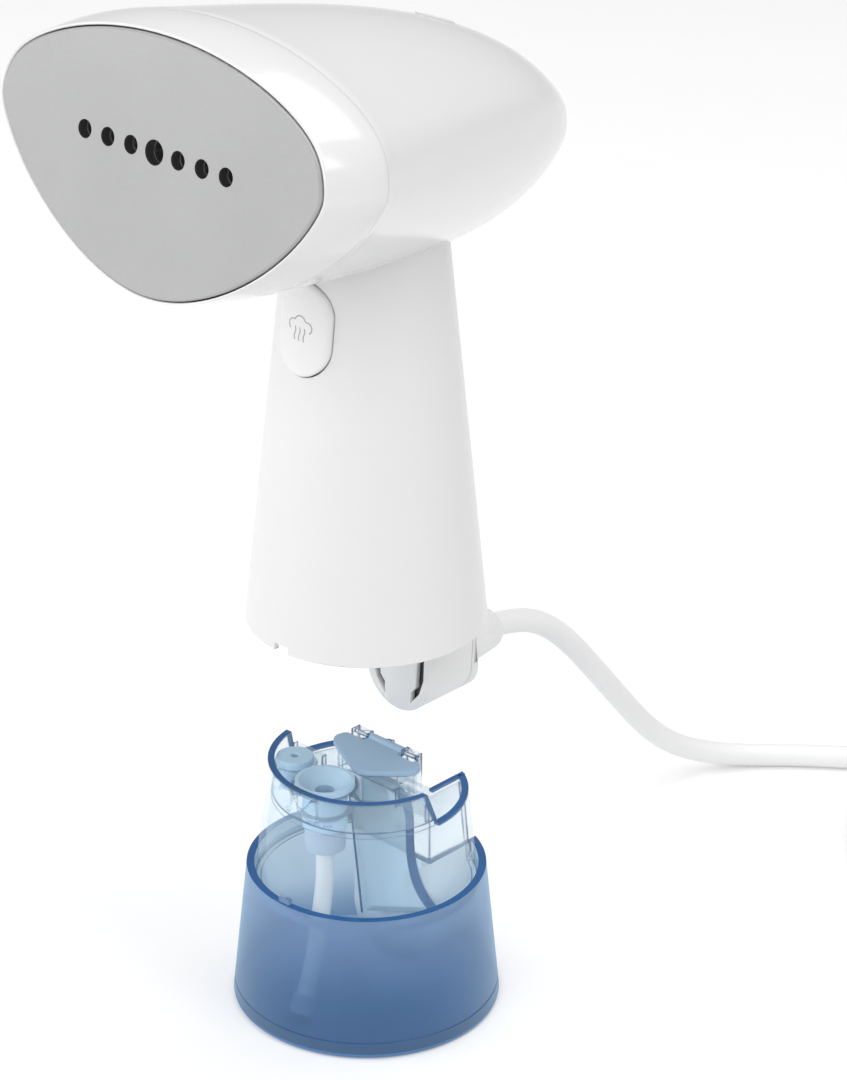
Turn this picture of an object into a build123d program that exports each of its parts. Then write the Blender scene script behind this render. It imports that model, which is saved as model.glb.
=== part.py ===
from build123d import *
import math
import os

# Hand-held garment steamer, lifted straight up off its water tank.
# Millimetres. +Z is up, the steam plate faces -Y, X runs across the plate.
# The origin is the middle of the hand grip, on the axis of the handle and the tank.
# Heights are given above the surface that the tank stands on, and up() turns them into Z.

GRIP_HEIGHT = 190.0
LIFT = 77.4             # the tank rises this far until it is docked in the handle

# Handle: one tapered tube
HANDLE_BOTTOM = 119.7
HANDLE_TOP = 243.0
HANDLE_FOOT_RADIUS = 33.1
TAPER = 0.1033          # radius lost for each mm of height
HANDLE_WALL = 1.7

# Head: a dome behind the steam plate, its axis tilted nose up
TILT = math.radians(9.1)
FACE_Y = -74.4
FACE_HEIGHT = 272.0
BAND = 18.5             # depth of the front frame
HEAD_LENGTH = 141.0
HEAD_WALL = 2.2
RIM = 0.9
OUTLINE_POINTS = 28
# The plate's outline by its reach from the middle in each direction:
# mean, lift, width, three-lobed and five-lobed parts
OUTLINE = (44.2, -0.7, 11.9, 2.4, -0.8)
HOLE_PITCH = 8.3
STEAM_HOLE_RADIUS = 2.4
MIDDLE_HOLE_RADIUS = 3.2
BOILER_SCALE = 0.86

# Trigger: a stadium-shaped button on the front of the handle
TRIGGER_HEIGHT = 210.6
TRIGGER_WIDTH = 18.0
TRIGGER_LENGTH = 25.6
TRIGGER_GAP = 0.4
TRIGGER_PROUD = 1.2

# Tank
BASE_RADIUS = 38.0
CUP_RIM = 42.0
CUP_RIM_RADIUS = 33.7
CUP_WALL = 2.2
CUP_FLOOR = 2.5
FOOT = 4.8              # a fine groove above the polished foot
SHELL_RADIUS = 30.9     # clear upper shell, at the cup's rim
SHELL_TAPER = 0.106
SHELL_WALL = 1.9
SHELL_TOP = 75.0
LEDGE = 65.4            # deck and lower rear edge of the clear shell
DECK = 1.4

# Docking tongue and the channel it slides in
TONGUE_FRONT = 12.5
TONGUE_SEAM = 30.0
TONGUE_BOTTOM = 85.3
TONGUE_RADIUS = 11.8
TONGUE_HALF_WIDTH = 12.5
TONGUE_WALL = 1.8
CHANNEL_GAP = 0.6
CHANNEL_WALL = 1.6

# Dock plate inside the handle, and its spout
DOCK = 156.0
SPOUT_Y = -16.5
SPOUT_RADIUS = 2.3
FUNNEL_RADIUS = 8.3
VENT = (-16.0, -12.0)

# Fill flap: three rounded corners (x, y, radius)
FLAP_CORNERS = ((-10.3, 3.2, 4.0), (12.2, 3.6, 3.6), (3.5, -3.0, 4.6))
FLAP_HINGE_Y = 9.0
FLAP_HINGE_HEIGHT = 75.0

# Cord
CORD_RADIUS = 3.5
CORD_EXIT_Y = 50.5
CORD_AXIS_HEIGHT = 97.2
COIL_RADIUS = 42.0      # middle of the turns
COIL_WIDTH = 21.4       # three turns side by side
COIL_HEIGHT = 14.2      # two layers
COIL_BASE = 0.2
COIL_LEAD_IN = 28.0     # straight cord that runs onto the coil
COIL_LEAD_OUT = 34.0    # straight cord that runs off it to the plug
COIL_TOP_LAYER = 10.5
PLUG_AXIS_HEIGHT = 13.0
PIN_RADIUS = 2.4
PIN_LENGTH = 19.0
PIN_SPACING = 19.0

os.makedirs("parts", exist_ok=True)


def up(height):
    return height - GRIP_HEIGHT


def handle_radius(height):
    return HANDLE_FOOT_RADIUS - TAPER * (height - HANDLE_BOTTOM)


def cup_radius(height):
    return BASE_RADIUS - (BASE_RADIUS - CUP_RIM_RADIUS) * height / CUP_RIM


def shell_radius(height):
    return SHELL_RADIUS - SHELL_TAPER * (height - CUP_RIM)


def keep(solid, name):
    """Name a finished piece and write its file."""
    solid.label = name
    export_step(solid, f"parts/{name}.step")
    return solid


def cone(radius_at, low, high, grow=0.0):
    """A solid of revolution about the handle's axis between two heights."""
    with BuildPart() as solid:
        with BuildSketch(Plane.XZ):
            with BuildLine():
                Polyline(
                    (0, up(low)),
                    (radius_at(low) + grow, up(low)),
                    (radius_at(high) + grow, up(high)),
                    (0, up(high)),
                    close=True,
                )
            make_face()
        revolve(axis=Axis.Z)
    return solid.part


def post(x, y, low, high, radius, bore=0.0):
    """An upright cylinder, with a bore if it has one."""
    with BuildPart() as solid:
        with BuildSketch(Plane.XY.offset(up(low))):
            with Locations((x, y)):
                Circle(radius)
                if bore:
                    Circle(bore, mode=Mode.SUBTRACT)
        extrude(amount=high - low)
    return solid.part


def block(x_low, x_high, y_low, y_high, low, high):
    """A plain block between two corners."""
    with BuildPart() as solid:
        with Locations(((x_low + x_high) / 2, (y_low + y_high) / 2, up((low + high) / 2))):
            Box(x_high - x_low, y_high - y_low, high - low)
    return solid.part


def tube_along(points, radii, radius, bore=0.0):
    """A round tube along straight runs joined by tangent arcs."""
    with BuildPart() as solid:
        with BuildLine() as route:
            FilletPolyline(*points, radius=radii)
        with BuildSketch(Plane(origin=route.line @ 0, z_dir=route.line % 0)):
            Circle(radius)
            if bore:
                Circle(bore, mode=Mode.SUBTRACT)
        sweep(path=route.line)
    return solid.part


# ---------------------------------------------------------------- head

def outline_point(angle, grow, lobes=1.0):
    """Point of the plate's outline whose edge faces the given direction."""
    mean, lift, width, three, five = OUTLINE
    three = three * lobes
    five = five * lobes
    reach = mean + grow + lift * math.sin(angle) + width * math.cos(2 * angle)
    reach += three * math.sin(3 * angle) + five * math.sin(5 * angle)
    slope = lift * math.cos(angle) - 2 * width * math.sin(2 * angle)
    slope += 3 * three * math.cos(3 * angle) + 5 * five * math.cos(5 * angle)
    x = reach * math.cos(angle) - slope * math.sin(angle)
    y = reach * math.sin(angle) + slope * math.cos(angle)
    return x, y


def head_plane(depth):
    """Plane across the head, the given depth behind the plate's face, facing forward."""
    y = FACE_Y + depth * math.cos(TILT)
    z = up(FACE_HEIGHT) - depth * math.sin(TILT)
    return Plane(origin=(0, y, z), x_dir=(1, 0, 0), z_dir=(0, -math.cos(TILT), math.sin(TILT)))


def head_section(depth, inset=0.0):
    """The head's outline at a depth: it swells over the front frame, then closes to the tip."""
    swell = math.sin(math.pi / 2 * min(1.0, depth / BAND))
    fade = max(0.0, (depth - BAND) / (HEAD_LENGTH - inset - BAND))
    wide = (1 - fade ** 0.8) ** 0.396 * (1 + 0.067 * swell)
    tall = (1 - fade ** 3.3) ** 0.452
    drop = 5.7 * fade ** 3.9
    points = []
    for step in range(OUTLINE_POINTS):
        x, y = outline_point(2 * math.pi * step / OUTLINE_POINTS, RIM - inset, 1 + 0.46 * fade)
        rise = 0.086 if y > 0 else 0.017
        points.append((x * wide, y * tall * (1 + rise * swell) - drop))
    return points


def head_loft(depths, inset=0.0):
    with BuildPart() as solid:
        for depth in depths:
            with BuildSketch(head_plane(depth)):
                with BuildLine():
                    Spline(*head_section(depth, inset), periodic=True)
                make_face()
        loft()
    return solid.part


def plate_solid(front, back, grow=0.0, scale=1.0):
    """A flat solid with the plate's outline between two depths."""
    points = []
    for step in range(OUTLINE_POINTS):
        x, y = outline_point(2 * math.pi * step / OUTLINE_POINTS, grow)
        points.append((x * scale, y * scale))
    with BuildPart() as solid:
        with BuildSketch(head_plane(front)):
            with BuildLine():
                Spline(*points, periodic=True)
            make_face()
        extrude(amount=-(back - front))
    return solid.part


def head_rod(x, y, front, back, radius, bore=0.0):
    """A round bar along the head's axis, at a place on the plate."""
    with BuildPart() as solid:
        with BuildSketch(head_plane(front)):
            with Locations((x, y)):
                Circle(radius)
                if bore:
                    Circle(bore, mode=Mode.SUBTRACT)
        extrude(amount=-(back - front))
    return solid.part


def steam_holes(front, back, grow=0.0):
    """The row of seven steam holes as solids to cut with."""
    with BuildPart() as solid:
        with BuildSketch(head_plane(front)):
            with GridLocations(HOLE_PITCH, 0, 7, 1):
                Circle(STEAM_HOLE_RADIUS + grow)
            Circle(MIDDLE_HOLE_RADIUS + grow)
        extrude(amount=-(back - front))
    return solid.part


def lens_pocket(width, length, low, high):
    """Upright oval solid at the indicator's place on top of the head."""
    with BuildPart() as solid:
        with BuildSketch(Plane.XY.offset(up(low))):
            with Locations((0, 25.5)):
                Ellipse(width / 2, length / 2)
        extrude(amount=high - low)
    return solid.part


def screw_places(scale):
    places = []
    for angle in (30, 90, 150, 210, 270, 330):
        x, y = outline_point(math.radians(angle), 0)
        places.append((x * scale, y * scale))
    return places


dome_fades = [0, 0.12, 0.26, 0.4, 0.54, 0.67, 0.78, 0.87, 0.93, 0.97, 0.992]
dome_depths = [BAND + fade * (HEAD_LENGTH - BAND) for fade in dome_fades]
hollow_depths = [BAND + fade * (HEAD_LENGTH - HEAD_WALL - BAND) for fade in dome_fades]
handle_hole = cone(handle_radius, 190, 260, 0.05)

with BuildPart() as head_shell:
    add(head_loft(dome_depths))
    add(head_loft(hollow_depths, HEAD_WALL), mode=Mode.SUBTRACT)
    add(handle_hole, mode=Mode.SUBTRACT)
    add(lens_pocket(11.8, 9.0, 262, 300), mode=Mode.SUBTRACT)
keep(head_shell.part, "head_shell")

with BuildPart() as front_frame:
    add(head_loft([0.5, 2.5, 6, 10, 14, BAND]))
    add(plate_solid(-1, 5, grow=0.35), mode=Mode.SUBTRACT)
    add(plate_solid(4.9, BAND + 0.1, grow=-1.6), mode=Mode.SUBTRACT)
keep(front_frame.part, "front_frame")

with BuildPart() as steam_plate:
    add(plate_solid(0, 3))
    front_face = steam_plate.faces().filter_by(head_plane(0)).sort_by(Axis.Y)[0]
    chamfer(front_face.edges(), length=0.5)
    add(steam_holes(-1, 4), mode=Mode.SUBTRACT)
keep(steam_plate.part, "steam_plate")

with BuildPart() as plate_seal:
    add(plate_solid(3.0, 5.0, grow=0.3))
    add(plate_solid(2.9, 5.1, scale=0.9), mode=Mode.SUBTRACT)
keep(plate_seal.part, "plate_seal")

with BuildPart() as boiler_body:
    add(plate_solid(3.0, 13.0, scale=BOILER_SCALE))
    add(plate_solid(6.0, 13.1, scale=0.72), mode=Mode.SUBTRACT)
    add(steam_holes(2.9, 6.1, grow=-0.3), mode=Mode.SUBTRACT)
    for x, y in screw_places(0.79):
        add(head_rod(x, y, 7.0, 13.1, 1.25), mode=Mode.SUBTRACT)
keep(boiler_body.part, "boiler_body")

with BuildPart() as boiler_gasket:
    add(plate_solid(13.0, 13.8, scale=BOILER_SCALE))
    add(plate_solid(12.9, 13.9, scale=0.72), mode=Mode.SUBTRACT)
    for x, y in screw_places(0.79):
        add(head_rod(x, y, 12.9, 13.9, 1.25), mode=Mode.SUBTRACT)
keep(boiler_gasket.part, "boiler_gasket")

INLET = (0.0, -1.0)
INLET_END = 26.0
with BuildPart() as boiler_cover:
    add(plate_solid(13.8, 17.0, scale=BOILER_SCALE))
    add(head_rod(*INLET, 17.0, INLET_END, 3.2))
    add(head_rod(*INLET, 13.7, INLET_END + 0.1, 1.4), mode=Mode.SUBTRACT)
    for x, y in screw_places(0.79):
        add(head_rod(x, y, 13.7, 17.1, 1.25), mode=Mode.SUBTRACT)
keep(boiler_cover.part, "boiler_cover")

with BuildPart() as boiler_screws:
    for x, y in screw_places(0.79):
        add(head_rod(x, y, 7.5, 17.0, 1.25))
        add(head_rod(x, y, 17.0, 19.0, 2.1))
keep(boiler_screws.part, "boiler_screws")

HEATER_RADIUS = 3.1
heater_plane = head_plane(17.0 + HEATER_RADIUS)
heater_corners = [(-30, 15), (-30, -13), (30, -13), (30, 15)]
heater_points = [heater_plane.from_local_coords(Vector(x, y, 0)) for x, y in heater_corners]
heating_element = tube_along(heater_points, 12, HEATER_RADIUS)
keep(heating_element, "heating_element")

keep(head_rod(-12, 6, 17.0, 24.0, 7.5), "thermostat")

with BuildPart() as thermal_fuse:
    with BuildSketch(head_plane(19.2)):
        with Locations((14, 9)):
            RectangleRounded(15, 4.2, 2.0)
    extrude(amount=2.1, both=True)
keep(thermal_fuse.part, "thermal_fuse")

with BuildPart() as boiler_carrier:
    add(plate_solid(14.4, 17.4, grow=-1.7))
    add(plate_solid(14.3, 17.5, scale=BOILER_SCALE + 0.005), mode=Mode.SUBTRACT)
keep(boiler_carrier.part, "boiler_carrier")

# The lens fills its hole and stands a little proud; the lamp is on a small board below it.
with BuildPart() as indicator_lens:
    add(lens_pocket(11.6, 8.8, 276.2, 300))
    add(head_loft(dome_depths, -0.4), mode=Mode.INTERSECT)
keep(indicator_lens.part, "indicator_lens")

with BuildPart() as indicator_lamp:
    add(block(-8, 8, 19, 32, 270.0, 271.4))
    add(post(0, 25.5, 271.4, 276.2, 2.5))
    for x in (-7.0, 7.0):
        add(post(x, 25.5, 271.4, 288.0, 1.0))
    add(head_loft(hollow_depths, HEAD_WALL), mode=Mode.INTERSECT)
keep(indicator_lamp.part, "indicator_lamp")

# ---------------------------------------------------------------- handle


def trigger_prism(grow, y_low, y_high):
    """Stadium-shaped solid along Y at the trigger's place."""
    with BuildPart() as solid:
        with BuildSketch(Plane.XZ.offset(-y_low)):
            with Locations((0, up(TRIGGER_HEIGHT))):
                SlotOverall(TRIGGER_LENGTH + 2 * grow, TRIGGER_WIDTH + 2 * grow, rotation=90)
        extrude(amount=-(y_high - y_low))
    return solid.part


def handle_inner(height):
    return handle_radius(height) - HANDLE_WALL


with BuildPart() as handle_sleeve:
    add(cone(handle_radius, HANDLE_BOTTOM, HANDLE_TOP))
    foot = handle_sleeve.edges().filter_by(GeomType.CIRCLE).sort_by(Axis.Z)[0]
    fillet(foot, 0.5)
    add(cone(handle_inner, HANDLE_BOTTOM - 1, HANDLE_TOP + 1), mode=Mode.SUBTRACT)
    add(trigger_prism(TRIGGER_GAP, -30, -10), mode=Mode.SUBTRACT)
    add(block(-2.5, 2.5, -36, -26, HANDLE_BOTTOM - 1, HANDLE_BOTTOM + 2.2), mode=Mode.SUBTRACT)
keep(handle_sleeve.part, "handle_sleeve")

with BuildPart() as trigger_flange:
    add(cone(handle_inner, 190, 232, -0.35))
    add(cone(handle_inner, 189, 233, -1.6), mode=Mode.SUBTRACT)
    add(trigger_prism(2.0, -30, -10), mode=Mode.INTERSECT)

with BuildPart() as trigger_core:
    add(cone(handle_inner, 190, 232, 0.5))
    add(cone(handle_inner, 189, 233, -1.6), mode=Mode.SUBTRACT)
    add(trigger_prism(-0.3, -30, -10), mode=Mode.INTERSECT)

with BuildPart() as trigger_button:
    add(cone(handle_radius, 190, 232, TRIGGER_PROUD))
    add(cone(handle_inner, 189, 233), mode=Mode.SUBTRACT)
    add(trigger_prism(0, -30, -10), mode=Mode.INTERSECT)
    add(trigger_flange.part)
    add(trigger_core.part)
    with BuildSketch(Plane.XZ.offset(17.2)):
        with Locations((0, up(TRIGGER_HEIGHT))):
            Circle(2.2)
    extrude(amount=4.6)
keep(trigger_button.part, "trigger_button")

BOARD_FRONT = 4.5
BOARD_REAR = 6.1

# Chassis in the handle: a spine with shelves for the switch and a seat for the spring
with BuildPart() as handle_chassis:
    add(block(-13, 13, 1, 3, DOCK + 2.5, 228))
    for height in (202.5, 215.0):
        add(block(-7.5, 1.5, -9.0, 1, height, height + 2))
    add(block(-3.2, 3.2, -13.0, -8.9, 218.4, 222.6))
    add(block(-3.2, 1.5, -9.0, 1.0, 218.4, 222.6))
    for x in (-9, 9):
        add(block(x - 3, x + 3, -1, 5, DOCK + 2.5, DOCK + 7))
        add(block(x - 1.5, x + 1.5, 3, BOARD_FRONT, 213.5, 216.5))
    for x in (-9, 9):
        add(post(x, 2, DOCK + 2, DOCK + 7.1, 1.0), mode=Mode.SUBTRACT)
keep(handle_chassis.part, "handle_chassis")

keep(block(-6.4, 6.4, -14.3, -9.0, 204.5, 215.0), "micro_switch")

SPRING_RADIUS = 1.9
SPRING_WIRE = 0.3
SPRING_START = (0, -18.9, up(220.3))
with BuildPart() as trigger_spring:
    with BuildLine() as spring_line:
        Helix(pitch=1.1, height=5.5, radius=SPRING_RADIUS, center=SPRING_START, direction=(0, 1, 0))
    with BuildSketch(Plane(origin=spring_line.line @ 0, z_dir=spring_line.line % 0)):
        Circle(SPRING_WIRE)
    sweep(path=spring_line.line)
keep(trigger_spring.part, "trigger_spring")

keep(block(-11, 11, BOARD_FRONT, BOARD_REAR, 167, 222), "circuit_board")
keep(block(-9, 3, BOARD_REAR, 14.0, 171, 187), "board_relay")
keep(post(5, BOARD_REAR + 5.0, 192, 206, 5.0), "board_capacitor")

# Pump, on two rubber rings, between the spout and the boiler
PUMP = (0.0, -9.7)
OUTLET = (5.0, -6.0)
with BuildPart() as pump_body:
    add(post(*PUMP, 172, 196, 8.0))
    add(post(*PUMP, 170.8, 172, 2.4))
    add(post(*OUTLET, 196, 197.5, 2.2))
keep(pump_body.part, "pump_body")
keep(post(*PUMP, 178, 190, 10.6, 8.0), "pump_coil")
with BuildPart() as pump_mounts:
    for height in (173.5, 191.5):
        add(post(*PUMP, height, height + 2.5, 10.7, 8.0))
keep(pump_mounts.part, "pump_mounts")

inlet_points = [
    (0, SPOUT_Y, up(DOCK + 2.5)),
    (0, SPOUT_Y, up(163)),
    (PUMP[0], PUMP[1], up(168.2)),
    (PUMP[0], PUMP[1], up(172)),
]
keep(tube_along(inlet_points, 5, 3.3, 2.4), "inlet_hose")

boss_end = head_plane(INLET_END).from_local_coords(Vector(*INLET, 0))
boss_line = head_plane(INLET_END + 13).from_local_coords(Vector(*INLET, 0))
outlet_points = [
    (*OUTLET, up(197.5)),
    (*OUTLET, up(238)),
    (2, -24, up(259)),
    boss_line,
    boss_end,
]
keep(tube_along(outlet_points, 10, 2.6, 1.5), "outlet_hose")

# Dock plate across the handle, with the spout that enters the tank's seal
with BuildPart() as dock_plate:
    add(cone(handle_inner, DOCK, DOCK + 2.5, -0.1))
    add(post(0, SPOUT_Y, DOCK - 10, DOCK + 4.5, SPOUT_RADIUS))
    add(post(0, SPOUT_Y, DOCK - 1.5, DOCK, 5.0))
    add(post(0, SPOUT_Y, DOCK - 11, DOCK + 5, 1.1), mode=Mode.SUBTRACT)
    add(block(-5, 5, 16, 23, DOCK - 1, DOCK + 3), mode=Mode.SUBTRACT)
    add(block(-15, 16.6, 5.5, 10, DOCK - 1, DOCK + 3), mode=Mode.SUBTRACT)
    for x in (-9, 9):
        add(post(x, 2, DOCK - 1, DOCK + 3, 1.0), mode=Mode.SUBTRACT)
keep(dock_plate.part, "dock_plate")

with BuildPart() as dock_screws:
    for x in (-9, 9):
        add(post(x, 2, DOCK - 1.6, DOCK, 2.2))
        add(post(x, 2, DOCK, DOCK + 6.8, 1.0))
keep(dock_screws.part, "dock_screws")

keep(block(-8, 8, 15.5, 23.5, DOCK + 2.5, 168), "terminal_block")

# ---------------------------------------------------------------- docking tongue


def u_block(radius, half_width, centre, top, y_front, y_back):
    """A bar along Y with a U-shaped section, round side down."""
    with BuildPart() as solid:
        with BuildSketch(Plane.XZ.offset(-y_front)):
            with BuildLine():
                ThreePointArc((-radius, up(centre)), (0, up(centre - radius)), (radius, up(centre)))
                Polyline(
                    (radius, up(centre)),
                    (half_width, up(centre + 16)),
                    (half_width, up(top)),
                    (-half_width, up(top)),
                    (-half_width, up(centre + 16)),
                    (-radius, up(centre)),
                )
            make_face()
        extrude(amount=-(y_back - y_front))
    return solid.part


def slot_cut(side):
    """One bent slot in the front wall of the tongue."""
    corners = [(7.3, 103.5), (9.8, 103.5), (9.6, 97.4), (8.0, 92.6), (5.0, 89.0), (5.0, 92.0), (6.7, 94.0)]
    with BuildPart() as solid:
        with BuildSketch(Plane.XZ.offset(-TONGUE_FRONT + 1)):
            with BuildLine():
                Polyline(*[(side * x, up(height)) for x, height in corners], close=True)
            make_face()
        extrude(amount=-4)
    return solid.part


TONGUE_CENTRE = TONGUE_BOTTOM + TONGUE_RADIUS
TONGUE_TOP = 119.4

with BuildPart() as tongue_envelope:
    add(cone(handle_radius, 80, TONGUE_TOP, -0.4))
    add(cone(handle_inner, TONGUE_TOP - 0.1, DOCK, -0.15))

with BuildPart() as dock_tongue:
    add(u_block(TONGUE_RADIUS, TONGUE_HALF_WIDTH, TONGUE_CENTRE, DOCK, TONGUE_FRONT, TONGUE_SEAM))
    add(
        u_block(
            TONGUE_RADIUS - TONGUE_WALL,
            TONGUE_HALF_WIDTH - TONGUE_WALL,
            TONGUE_CENTRE,
            DOCK + 1,
            TONGUE_FRONT + TONGUE_WALL,
            TONGUE_SEAM + 1,
        ),
        mode=Mode.SUBTRACT,
    )
    add(slot_cut(1), mode=Mode.SUBTRACT)
    add(slot_cut(-1), mode=Mode.SUBTRACT)
    add(tongue_envelope.part, mode=Mode.INTERSECT)
keep(dock_tongue.part, "dock_tongue")

GUARD_RADIUS = TONGUE_RADIUS - TONGUE_WALL - 0.05
GUARD_HALF_WIDTH = TONGUE_HALF_WIDTH - TONGUE_WALL - 0.05
keep(
    u_block(GUARD_RADIUS, GUARD_HALF_WIDTH, TONGUE_CENTRE, 125, TONGUE_FRONT + 3.0, TONGUE_FRONT + 4.2),
    "cable_guard",
)

with BuildPart() as tongue_cap:
    add(u_block(TONGUE_RADIUS, TONGUE_HALF_WIDTH, TONGUE_CENTRE, TONGUE_TOP, TONGUE_SEAM + 0.1, 40))
    add(cone(handle_radius, 80, TONGUE_TOP, -0.3), mode=Mode.INTERSECT)
    rear_edges = tongue_cap.faces().sort_by(Axis.Y)[-1].edges()
    fillet(rear_edges.sort_by(Axis.Z)[:-1], 1.2)
    with BuildSketch(Plane.XZ.offset(-25)):
        with Locations((0, up(CORD_AXIS_HEIGHT))):
            Circle(6.4)
    extrude(amount=-20, mode=Mode.SUBTRACT)
keep(tongue_cap.part, "tongue_cap")

# ---------------------------------------------------------------- cord

# The cord's route from the strain relief to the coil: x, y and height of its middle
CORD_ROUTE = [
    (0.0, CORD_EXIT_Y, CORD_AXIS_HEIGHT),
    (-1.2, 61.5, 94.8),
    (-4.2, 77.5, 87.2),
    (-8.0, 94.0, 73.8),
    (-12.2, 113.0, 54.2),
    (-15.2, 130.0, 35.8),
    (-15.9, 143.0, 21.6),
    (-14.4, 154.2, 12.2),
    (-10.3, 166.2, 6.2),
    (-3.2, 177.6, CORD_RADIUS),
    (7.2, 187.8, CORD_RADIUS),
    (22.5, 199.9, CORD_RADIUS),
    (37.0, 212.6, CORD_RADIUS),
]
route = [Vector(x, y, up(height)) for x, y, height in CORD_ROUTE]
runs = [after - before for before, after in zip(route, route[1:])]


def arc_radius(before, after):
    """The largest arc that two neighbouring runs leave room for."""
    half_turn = math.radians(before.get_angle(after)) / 2
    return 0.45 * min(before.length, after.length) / math.tan(half_turn)


cord_radii = [arc_radius(before, after) for before, after in zip(runs, runs[1:])]
print("cord arc radii", [round(radius, 1) for radius in cord_radii])
print("cord runs", [round(run.length, 1) for run in runs])

with BuildPart() as power_cord:
    with BuildLine() as cord_line:
        FilletPolyline(*route, radius=cord_radii)
    with BuildSketch(Plane(origin=route[0], z_dir=runs[0])):
        Circle(CORD_RADIUS)
    sweep(path=cord_line.line)
tube_length = sum(edge.length for edge in cord_line.edges())
section = math.pi * CORD_RADIUS ** 2
print("cord tube", round(tube_length, 1), "mm")
print("cord volume", round(power_cord.part.volume), "against", round(section * tube_length))
keep(power_cord.part, "power_cord")

# Strain relief: a sleeve clamped in the tongue, a flange behind the cap and a tapered stub outside
with BuildPart() as strain_relief:
    with BuildSketch(Plane.YZ):
        with BuildLine():
            Polyline(
                (21, up(CORD_AXIS_HEIGHT)),
                (21, up(CORD_AXIS_HEIGHT + 4.4)),
                (27, up(CORD_AXIS_HEIGHT + 4.4)),
                (27, up(CORD_AXIS_HEIGHT + 8.0)),
                (29, up(CORD_AXIS_HEIGHT + 8.0)),
                (29, up(CORD_AXIS_HEIGHT + 6.4)),
                (36.1, up(CORD_AXIS_HEIGHT + 6.4)),
                (36.1, up(CORD_AXIS_HEIGHT + 7.2)),
                (54, up(CORD_AXIS_HEIGHT + 5.55)),
                (54, up(CORD_AXIS_HEIGHT)),
                close=True,
            )
        make_face()
    revolve(axis=Axis((0, 0, up(CORD_AXIS_HEIGHT)), (0, 1, 0)))
    with BuildSketch(Plane(origin=route[0], z_dir=runs[0])):
        Circle(20)
    extrude(amount=10, mode=Mode.SUBTRACT)
    mouth = strain_relief.faces().filter_by(Plane(origin=route[0], z_dir=runs[0])).sort_by(Axis.Y)[-1]
    fillet(mouth.edges(), 1.4)
keep(strain_relief.part, "strain_relief")

with BuildPart() as cord_clamp:
    add(block(-8.5, 8.5, 22, 25.5, CORD_AXIS_HEIGHT - 4, CORD_AXIS_HEIGHT + 7))
    with BuildSketch(Plane.XZ.offset(-20)):
        with Locations((0, up(CORD_AXIS_HEIGHT))):
            Circle(4.4)
    extrude(amount=-10, mode=Mode.SUBTRACT)
keep(cord_clamp.part, "cord_clamp")

with BuildPart() as lead_wires:
    for x in (-2.2, 2.2):
        wire = [
            (x, 21, up(CORD_AXIS_HEIGHT)),
            (x, 18.9, up(CORD_AXIS_HEIGHT)),
            (x, 18.9, up(DOCK + 2.5)),
        ]
        add(tube_along(wire, 1.9, 1.1))
keep(lead_wires.part, "lead_wires")

# The coil: a ring that holds the turns, and the straight cord that runs onto it and off it
lead_in = runs[-1].normalized()
across = Vector(lead_in.Y, -lead_in.X, 0)
outer_turn = COIL_RADIUS + 2 * CORD_RADIUS
touch = route[-1] + lead_in * COIL_LEAD_IN
coil_middle = touch + across * outer_turn
leave = Vector(coil_middle.X + outer_turn, coil_middle.Y, up(COIL_TOP_LAYER))
plug_start = Vector(leave.X, leave.Y - COIL_LEAD_OUT, up(PLUG_AXIS_HEIGHT))
lead_out = leave - plug_start
print("coil centre", round(coil_middle.X, 2), round(coil_middle.Y, 2))
print("plug start", round(plug_start.X, 2), round(plug_start.Y, 2))

with BuildPart() as cord_coil:
    with BuildSketch(Plane.XY.offset(up(COIL_BASE))):
        with Locations((coil_middle.X, coil_middle.Y)):
            Circle(COIL_RADIUS + COIL_WIDTH / 2)
            Circle(COIL_RADIUS - COIL_WIDTH / 2, mode=Mode.SUBTRACT)
    extrude(amount=COIL_HEIGHT - COIL_BASE)
    fillet(cord_coil.faces().sort_by(Axis.Z)[-1].edges(), 3.0)
    with BuildSketch(Plane(origin=route[-1], z_dir=lead_in)):
        Circle(CORD_RADIUS)
    extrude(amount=COIL_LEAD_IN)
    with BuildSketch(Plane(origin=plug_start, z_dir=lead_out)):
        Circle(CORD_RADIUS)
    extrude(amount=lead_out.length)
keep(cord_coil.part, "cord_coil")

# Plug: a flat moulded body with a tapered boot and two round pins, lying on its side
BOOT_LENGTH = 22.0
PLUG_LENGTH = 36.0


def plug_plane(distance):
    return Plane(origin=plug_start - Vector(0, distance, 0), x_dir=(1, 0, 0), z_dir=(0, -1, 0))


with BuildPart() as plug_body:
    with BuildSketch(plug_plane(0)):
        Circle(CORD_RADIUS + 1.0)
    with BuildSketch(plug_plane(BOOT_LENGTH)):
        Circle(7.0)
    loft()
    with BuildSketch(plug_plane(BOOT_LENGTH)):
        SlotOverall(22, 16)
    with BuildSketch(plug_plane(BOOT_LENGTH + 12)):
        SlotOverall(35, 25)
    loft()
    with BuildSketch(plug_plane(BOOT_LENGTH + 12)):
        SlotOverall(35, 25)
    extrude(amount=PLUG_LENGTH - 12)
    fillet(plug_body.faces().sort_by(Axis.Y)[0].edges(), 1.2)
keep(plug_body.part, "plug_body")

with BuildPart() as plug_pins:
    with BuildSketch(plug_plane(BOOT_LENGTH + PLUG_LENGTH)):
        with GridLocations(PIN_SPACING, 0, 2, 1):
            Circle(PIN_RADIUS)
    extrude(amount=PIN_LENGTH)
    chamfer(plug_pins.faces().sort_by(Axis.Y)[:2].edges(), 0.8)
keep(plug_pins.part, "plug_pins")

# ---------------------------------------------------------------- tank

CHANNEL_RADIUS = TONGUE_HALF_WIDTH + CHANNEL_GAP
CHANNEL_CENTRE = TONGUE_CENTRE - LIFT
CHANNEL_FRONT = TONGUE_FRONT - CHANNEL_GAP


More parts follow.
